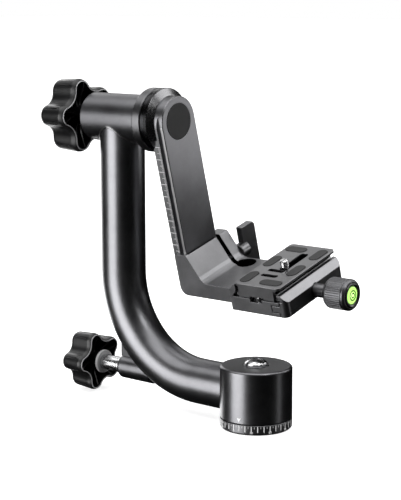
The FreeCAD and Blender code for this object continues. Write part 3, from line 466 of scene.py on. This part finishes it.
LOOK = {
    "base_plate": BASE, "thread_insert": STEELZ, "pan_spindle": STEELZ, "pan_glide_ring": GLIDE,
    "bolt_washer": HOUS, "centre_bolt": CHROME,
    "pan_housing": HOUS, "pan_bush_lower": BRONZE, "pan_bush_upper": BRONZE, "j_tube": ARM,
    "lock_stub": ARM, "stub_gusset": GUSSET, "stub_ring": CHROME, "tilt_sleeve": SLEEVE,
    "sleeve_collar": COLLAR, "drag_ring": DRAG, "tilt_flange": RINGS,
    "swing_rail": RAILS, "rail_cap": CAPM, "platform_bracket": BRACKET, "clamp_body": CLAMP,
    "clamp_jaw": JAW, "rail_wing": WING, "wing_stud": OXIDE, "drop_pin": CHROME,
    "quick_plate": PLATE, "camera_screw": STUD, "screw_carrier": STEELX,
    "clamp_screw_shaft": GRIP, "clamp_knob_grip": KNURL, "level_ring": BLACKP, "level_liquid": LIQUID,
    "level_bubble": bubble_mat(), "level_lens": LENS,
    "tilt_knob": STAR_T, "pan_knob": STAR_P, "pan_knob_disc": DISC, "pan_knob_stud": CHROME,
    "tilt_knob_stud": STEELX, "tilt_brake_pad": GLIDE, "pan_brake_rod": STEELX,
}
for k in "abcdef":
    LOOK["plate_pad_" + k] = PAD
for name, o in N.items():
    t = LOOK.get(name, STEELX)
    o.data.materials.clear()
    o.data.materials.append(t.m)

# ---------------------------------------------------------------- piece helpers
def add_mesh(name, verts, faces, body, t, smooth=True, mat=None):
    me = bpy.data.meshes.new(name)
    me.from_pydata([tuple(v) for v in verts], [], faces)
    me.validate()
    bm = bmesh.new()
    bm.from_mesh(me)
    bmesh.ops.recalc_face_normals(bm, faces=bm.faces)
    bm.to_mesh(me)
    bm.free()
    for p in me.polygons:
        p.use_smooth = smooth
    o = bpy.data.objects.new(name, me)
    SC.collection.objects.link(o)
    o.data.materials.append(t.m)
    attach(o, body)
    return o


def slab(verts, faces, c, u, v, w, hu, hv, hw):
    """Adds a small bevelled block centred at c with half sizes along u, v, w."""
    b = min(hu, hv, hw) * 0.35
    ring = []
    for sw, inset in ((-1, b), (-1, 0), (1, 0), (1, b)):
        z = hw if inset else hw - b
        row = []
        for su, sv in ((-1, -1), (1, -1), (1, 1), (-1, 1)):
            p = c + u * (su * (hu - inset)) + v * (sv * (hv - inset)) + w * (sw * z)
            row.append(len(verts))
            verts.append(p)
        ring.append(row)
    faces.append(list(reversed(ring[0])))
    for r0, r1 in zip(ring[:-1], ring[1:]):
        for k in range(4):
            faces.append([r0[k], r0[(k + 1) % 4], r1[(k + 1) % 4], r1[k]])
    faces.append(ring[-1])


# ---------------------------------------------------------------- numerals round the base
def numerals():
    """Plain degree numbers, wrapped round the base ring below the short lines."""
    verts, faces = [], []
    for k in range(12):
        cu = bpy.data.curves.new("num", "FONT")
        cu.body = str(30 * k)
        cu.size = 0.0024
        cu.align_x = "CENTER"
        cu.align_y = "CENTER"
        cu.extrude = 0.00006
        cu.resolution_u = 3
        ob = bpy.data.objects.new("num", cu)
        SC.collection.objects.link(ob)
        bpy.context.view_layer.update()
        dg = bpy.context.evaluated_depsgraph_get()
        me = bpy.data.meshes.new_from_object(ob.evaluated_get(dg))
        a0 = math.radians(30 * k - 90)
        base = len(verts)
        for v in me.vertices:
            a = a0 + v.co.x / 0.0270
            r = 0.02700 + v.co.z
            verts.append(Vector((r * math.cos(a), r * math.sin(a), 0.00215 + v.co.y)))
        for p in me.polygons:
            faces.append([base + i for i in p.vertices])
        bpy.data.objects.remove(ob)
        bpy.data.curves.remove(cu)
        bpy.data.meshes.remove(me)
    return add_mesh("degree_numerals", verts, faces, "pan_base", WHITE, smooth=False)


numerals()


# ---------------------------------------------------------------- painted lines between the engraved ones
def fine_lines():
    """Short painted lines midway between the engraved ones, and white in the engraved ones' upper ends."""
    verts, faces = [], []
    for k in range(72):
        a = math.radians(5 * k - 90)
        top, bot, hw = (6.75, 5.2, 0.11) if k % 2 else (6.95, 2.6, 0.27)
        rad = Vector((math.cos(a), math.sin(a), 0))
        tan = Vector((-math.sin(a), math.cos(a), 0))
        c = (rad * 27.0 + Vector((0, 0, (top + bot) / 2))) / 1000.0
        slab(verts, faces, c, tan, Vector((0, 0, 1)), rad, hw / 1000, (top - bot) / 2000, 0.00003)
    return add_mesh("fine_lines", verts, faces, "pan_base", WHITE, smooth=False)


fine_lines()


# white index triangle on the housing
def index_mark():
    a = math.radians(-90 + 9.3)
    rad = Vector((math.cos(a), math.sin(a), 0))
    tan = Vector((-math.sin(a), math.cos(a), 0))
    verts, faces = [], []
    pts = [(-1.65, 12.3), (1.65, 12.3), (0.0, 9.1)]
    for depth, sh in ((26.5, 1.0), (26.98, 1.0), (27.05, 0.92)):
        for u, z in pts:
            verts.append((rad * depth + tan * (u * sh) + Vector((0, 0, (z - 11.2) * sh + 11.2))) / 1000.0)
    faces = [[2, 1, 0], [6, 7, 8]]
    for r in (0, 3):
        for k in range(3):
            faces.append([r + k, r + (k + 1) % 3, r + 3 + (k + 1) % 3, r + 3 + k])
    return add_mesh("index_mark", verts, faces, "pan_arm", WHITE, smooth=False)


index_mark()

# ---------------------------------------------------------------- scale on the rail: lines each 10 mm and dots each mm
def rail_scale():
    verts, faces = [], []
    u = Vector((1, 0, 0))
    v = Vector((0, -SP, CP))
    w = Vector((0, -CP, -SP))
    for k in range(0, 110):
        zz = -14.6 - k
        if zz < -124.5:
            break
        if k % 10 == 0:
            hx, hz = 2.9, 0.14
        elif k % 5 == 0:
            hx, hz = 1.6, 0.10
        else:
            hx, hz = 0.8, 0.08
        slab(verts, faces, T(-81.1 - hx, -19.0 - 0.01, zz), u, v, w, hx / 1000, hz / 1000, 0.00003)
    return add_mesh("rail_scale_marks", verts, faces, "swing", WHITE, smooth=False)


rail_scale()

# ---------------------------------------------------------------- threads
def helix_thread(name, origin, axis, e1, e2, r_root, r_crest, z0, z1, pitch, body, t, inner=False, seg=28):
    """Closed ridge of triangular section wound round an axis; it fades out at both ends."""
    turns = (z1 - z0) / pitch
    n = int(turns * seg)
    verts, faces = [], []
    for i in range(n + 1):
        a = 2 * math.pi * i / seg
        z = z0 + pitch * i / seg
        fade = min(1.0, i / (seg * 0.6), (n - i) / (seg * 0.6))
        rc = r_root + (r_crest - r_root) * max(fade, 0.05)
        hw = pitch * 0.44
        hc = pitch * 0.07
        d = e1 * math.cos(a) + e2 * math.sin(a)
        back = r_root - (0.15 if not inner else -0.15)
        for rr, dz in ((back, -hw), (r_root, -hw), (rc, -hc), (rc, hc), (r_root, hw), (back, hw)):
            verts.append(origin + (d * rr + axis * (z + dz)) / 1000.0)
    m = 6
    for i in range(n):
        for k in range(m):
            a0, a1 = i * m + k, i * m + (k + 1) % m
            faces.append([a0, a1, a1 + m, a0 + m])
    faces.append(list(range(m - 1, -1, -1)))
    faces.append([n * m + k for k in range(m)])
    return add_mesh(name, verts, faces, body, t, smooth=False)


ZP_ = Vector((0, -SP, CP))
YP_ = Vector((0, CP, SP))
XP_ = Vector((1, 0, 0))
helix_thread("camera_screw_thread", T(2.3, 2.2, -112.5), ZP_, XP_, YP_, 3.15, 3.34, 0.9, 5.6, 1.27, "camera_bolt", STUD)
helix_thread("tripod_thread_ridge", Vector((0, 0, 0)), Vector((0, 0, 1)), XP_, Vector((0, 1, 0)), 4.78, 4.30, 0.9, 6.9, 1.5875, "pan_base", STEELZ, inner=True)

# ---------------------------------------------------------------- bead where the arm meets the sleeve
def weld_bead():
    """Thin smooth bead along the line where the vertical tube meets the sleeve."""
    xa, rt, rs, rb = ARM_X, ARM_R, 18.45, 1.05
    n, m = 120, 8
    pts = []
    for i in range(n):
        a = 2 * math.pi * i / n
        y = rt * math.sin(a)
        pts.append(Vector((xa + rt * math.cos(a), y, 223.2 - math.sqrt(rs * rs - y * y))))
    verts, faces = [], []
    for i in range(n):
        p, q = pts[i - 1], pts[(i + 1) % n]
        d = (q - p).normalized()
        out = Vector((pts[i].x - xa, pts[i].y, 0)).normalized()
        side = d.cross(out).normalized()
        out = side.cross(d).normalized()
        for k in range(m):
            b = 2 * math.pi * k / m
            verts.append((pts[i] + (out * math.cos(b) + side * math.sin(b)) * rb) / 1000.0)
    for i in range(n):
        j = (i + 1) % n
        for k in range(m):
            l = (k + 1) % m
            faces.append([i * m + k, i * m + l, j * m + l, j * m + k])
    return add_mesh("arm_bead", verts, faces, "pan_arm", BEAD)


BEAD = anodised("bead_black", (0.26, 0.26, 0.265), 0.30, edge=0.1)
weld_bead()

# ---------------------------------------------------------------- light grey beads on the star knobs' mouths: painted highlight along the rolled lips
def star_line(rmax, rmin, b, off):
    """Points of the five-lobed outline moved inwards by off; angle 0 is towards -Y."""
    a = rmax - b
    c36 = math.cos(math.pi / 5)
    d = (a * a + rmin * rmin - 2 * a * rmin * c36 - b * b) / (2 * b - 2 * rmin + 2 * a * c36)
    c = rmin + d
    b2, d2 = b - off, d + off
    pts = []
    for k in range(5):
        al = 2 * math.pi * k / 5
        be = al + math.pi / 5
        lx, ly = a * math.cos(al), a * math.sin(al)
        vx, vy = c * math.cos(be), c * math.sin(be)
        g = abs((math.atan2(vy - ly, vx - lx) - al + math.pi) % (2 * math.pi) - math.pi)
        for i in range(14):
            t = al - g + 2 * g * i / 14
            pts.append((lx + b2 * math.cos(t), ly + b2 * math.sin(t)))
        h0 = math.atan2(ly - vy, lx - vx)
        n1 = al + 2 * math.pi / 5
        h1 = math.atan2(a * math.sin(n1) - vy, a * math.cos(n1) - vx)
        dh = (h1 - h0 + math.pi) % (2 * math.pi) - math.pi
        for i in range(8):
            t = h0 + dh * i / 8
            pts.append((vx + d2 * math.cos(t), vy + d2 * math.sin(t)))
    return pts


def lip_highlight_bead(name, x_rim, k, off, zc, body):
    """Thin light grey bead that follows the star outline on the mouth's rim: a painted highlight standing in for the
    rolled lip's shine.
    """
    line = [Vector((x_rim, -p[0], zc + p[1])) for p in star_line(29.9 * k, 21.6 * k, 8.8 * k, off)]
    n, m, rb = len(line), 8, 0.48
    verts, faces = [], []
    for i in range(n):
        d = (line[(i + 1) % n] - line[i - 1]).normalized()
        side = Vector((1, 0, 0)).cross(d).normalized()
        for j in range(m):
            t = 2 * math.pi * j / m
            verts.append((line[i] + (side * math.cos(t) + Vector((1, 0, 0)) * math.sin(t)) * rb) / 1000.0)
    for i in range(n):
        q = (i + 1) % n
        for j in range(m):
            l = (j + 1) % m
            faces.append([i * m + j, i * m + l, q * m + l, q * m + j])
    return add_mesh(name, verts, faces, body, LIP_HIGHLIGHT_MAT)


# light grey bead material: painted highlight along each knob's mouth
LIP_HIGHLIGHT_MAT = moulded("lip_painted_highlight", (0.50, 0.50, 0.51), 0.33, coat=0.3, edge=0.0)
lip_highlight_bead("tilt_knob_lip_highlight", -168.4, 1.0, 1.8, 223.2, "tilt_lock")
lip_highlight_bead("pan_knob_lip_highlight", -158.3, 0.805, 1.5, 24.9, "pan_lock")

# ---------------------------------------------------------------- rings printed on the level
def annulus(name, c, ax, e1, e2, r0, r1, h, body, t, seg=48):
    verts, faces = [], []
    for i in range(seg):
        a = 2 * math.pi * i / seg
        d = e1 * math.cos(a) + e2 * math.sin(a)
        for rr, z in ((r0, 0), (r0, h), (r1, h), (r1, 0)):
            verts.append(c + (d * rr + ax * z) / 1000.0)
    for i in range(seg):
        j = (i + 1) % seg
        for k in range(4):
            l = (k + 1) % 4
            faces.append([i * 4 + k, i * 4 + l, j * 4 + l, j * 4 + k])
    return add_mesh(name, verts, faces, body, t)


RINGK = moulded("level_print", (0.006, 0.011, 0.002), 0.85, edge=0.0, spec=0.05)
annulus("level_mark_inner", T(58.70, 5.0, -128.7), XP_, YP_, ZP_, 1.20, 2.05, 0.12, "clamp_knob", RINGK)
annulus("level_mark_outer", T(58.66, 5.0, -128.7), XP_, YP_, ZP_, 3.15, 4.00, 0.12, "clamp_knob", RINGK)

# ---------------------------------------------------------------- camera
cam = bpy.data.cameras.new("camera")
co = bpy.data.objects.new("camera", cam)
SC.collection.objects.link(co)
SC.camera = co
PSI, THE, RHO = math.radians(39.564), math.radians(9.844), math.radians(-0.0953)
F = Vector((-math.sin(PSI) * math.cos(THE), math.cos(PSI) * math.cos(THE), -math.sin(THE)))
R0 = F.cross(Vector((0, 0, 1))).normalized()
U0 = R0.cross(F)
R1 = R0 * math.cos(RHO) + U0 * math.sin(RHO)
U1 = -R0 * math.sin(RHO) + U0 * math.cos(RHO)
target = Vector((-0.027, 0, 0.099)) + R0 * -0.020364 + U0 * 0.030671
eye = target - F * 1.104895
mw = Matrix((
    (R1.x, U1.x, -F.x, eye.x),
    (R1.y, U1.y, -F.y, eye.y),
    (R1.z, U1.z, -F.z, eye.z),
    (0, 0, 0, 1)))
co.matrix_world = mw
cam.type = "PERSP"
cam.sensor_width = 36.0
cam.sensor_fit = "AUTO"
cam.lens = 1479.537 * 36.0 / 500.0
cam.clip_start = 0.05
cam.clip_end = 60.0

# ---------------------------------------------------------------- floor
fm = Tree("floor_pale")
fn = fm.noise(3.0, 3.0, 0.5)
fm.put(fm.p.inputs["Base Color"], fm.mix(fm.mapr(fn, 0.3, 0.7), (0.90, 0.90, 0.90), (0.93, 0.93, 0.93)))
fm.p.inputs["Roughness"].default_value = 0.9
fm.p.inputs["Specular IOR Level"].default_value = 0.1
fm.p.inputs["Emission Color"].default_value = (1, 1, 1, 1)
fm.p.inputs["Emission Strength"].default_value = 0.72
me = bpy.data.meshes.new("floor")
R = 14.0
me.from_pydata([(-R, -R, 0), (R, -R, 0), (R, R, 0), (-R, R, 0)], [], [(0, 1, 2, 3)])
floor = bpy.data.objects.new("floor", me)
SC.collection.objects.link(floor)
floor.location.z = -0.0002
me.materials.append(fm.m)
floor.visible_glossy = False
floor.visible_diffuse = False
floor.visible_shadow = False

# ---------------------------------------------------------------- light
world = bpy.data.worlds.new("studio")
SC.world = world
world.use_nodes = True
wt = world.node_tree
wt.nodes.clear()
wo = wt.nodes.new("ShaderNodeOutputWorld")
bgs = wt.nodes.new("ShaderNodeBackground")
bgs.inputs["Color"].default_value = (1, 1, 1, 1)
bgs.inputs["Strength"].default_value = 1.0
bgd = wt.nodes.new("ShaderNodeBackground")
bgd.inputs["Color"].default_value = (1, 1, 1, 1)
bgd.inputs["Strength"].default_value = 0.006
mixw = wt.nodes.new("ShaderNodeMixShader")
lp = wt.nodes.new("ShaderNodeLightPath")
wt.links.new(lp.outputs["Is Camera Ray"], mixw.inputs[0])
wt.links.new(bgd.outputs[0], mixw.inputs[1])
wt.links.new(bgs.outputs[0], mixw.inputs[2])
wt.links.new(mixw.outputs[0], wo.inputs["Surface"])

MID = Vector((-0.055, 0.0, 0.125))
D_CAM = Vector((math.sin(PSI), -math.cos(PSI), 0))
R_CAM = Vector((math.cos(PSI), math.sin(PSI), 0))


def area(name, az, el, dist, w, h, radiance, aim=MID):
    """Softbox seen from the object at az degrees to the camera's left and el degrees up, with a set brightness."""
    a, e = math.radians(az), math.radians(el)
    d = (D_CAM * math.cos(a) - R_CAM * math.sin(a)) * math.cos(e) + Vector((0, 0, math.sin(e)))
    li = bpy.data.lights.new(name, "AREA")
    li.shape = "RECTANGLE"
    li.size = w
    li.size_y = h
    li.energy = radiance * w * h * math.pi
    o = bpy.data.objects.new(name, li)
    SC.collection.objects.link(o)
    o.location = aim + d * dist
    o.rotation_mode = "QUATERNION"
    o.rotation_quaternion = d.to_track_quat("Z", "Y")
    o.visible_camera = False
    return o


area("key_left", 61, -4, 1.5, 1.15, 1.15, 5.4)
area("rim_left_back", 150, 5, 1.8, 0.9, 1.6, 2.6)
area("back_high", 176, 30, 1.8, 1.3, 0.8, 1.0)
area("back_low", 150, -22, 1.8, 1.0, 0.5, 2.0)
area("right_high", -97, 42, 0.75, 0.55, 0.32, 3.1)
area("accent_top", -38, 48, 1.2, 0.40, 0.40, 5.0)
area("fill_right", -74, -4, 1.8, 0.26, 1.6, 0.95)
area("rail_side", -101, -4, 0.42, 0.16, 0.12, 2.6, T(-79, 0, 0))

sun = bpy.data.lights.new("top_soft", "SUN")
sun.energy = 2.6
sun.angle = math.radians(74)
so = bpy.data.objects.new("top_soft", sun)
SC.collection.objects.link(so)
so.rotation_euler = (math.radians(6), math.radians(-8), 0)
so.visible_camera = False

SC.view_settings.view_transform = "Standard"
SC.view_settings.look = "None"
